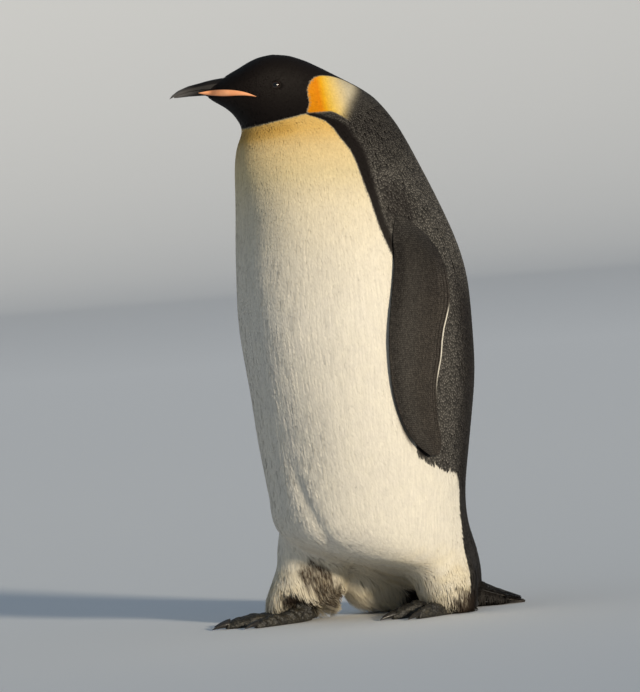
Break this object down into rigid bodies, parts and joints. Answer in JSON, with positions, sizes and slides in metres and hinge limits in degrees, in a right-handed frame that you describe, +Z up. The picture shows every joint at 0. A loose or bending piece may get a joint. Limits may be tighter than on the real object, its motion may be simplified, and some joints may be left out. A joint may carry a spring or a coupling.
{
  "type": "emperor penguin",
  "caption": "Life-size still model of an emperor penguin in a walking pose, right foot forward, standing on its own feet and tail.",
  "frame": {"origin": "under the middle of the bird's bounding box, on the floor", "axes": "+Z up; the bird walks towards -Y; +X is its left side"},
  "size_m": [0.4122, 0.5508, 0.9499],
  "materials": {
    "hood_feather": "short velvety black-brown feathers of the hood",
    "neck_feather": "short soft feathers, gold to cream, black and grey behind",
    "body_feather": "dense overlapping feathers, white in front and slate grey behind",
    "leg_feather": "long soft cream feathers, brown in places",
    "flipper_feather": "tiny stiff scale-like feathers",
    "tail_feather": "stiff narrow feathers",
    "foot_skin": "dark scaly skin",
    "claw_horn": "dark satin horn",
    "bill_horn": "satin blue-grey horn",
    "bill_plate": "satin orange-pink horn",
    "eye": "wet, very dark"
  },
  "bodies": {
    "root": {"bill_lower": "bill_horn", "bill_plate_left": "bill_plate", "bill_plate_right": "bill_plate", "bill_upper": "bill_horn", "claw_left_inner": "claw_horn", "claw_left_middle": "claw_horn", "claw_left_outer": "claw_horn", "claw_right_inner": "claw_horn", "claw_right_middle": "claw_horn", "claw_right_outer": "claw_horn", "eye_left": "eye", "eye_right": "eye", "flipper_left": "flipper_feather", "flipper_right": "flipper_feather", "foot_left": "foot_skin", "foot_right": "foot_skin", "head": "hood_feather", "leg_left": "leg_feather", "leg_right": "leg_feather", "neck": "neck_feather", "tail": "tail_feather", "trunk": "body_feather"}
  },
  "joints": []
}
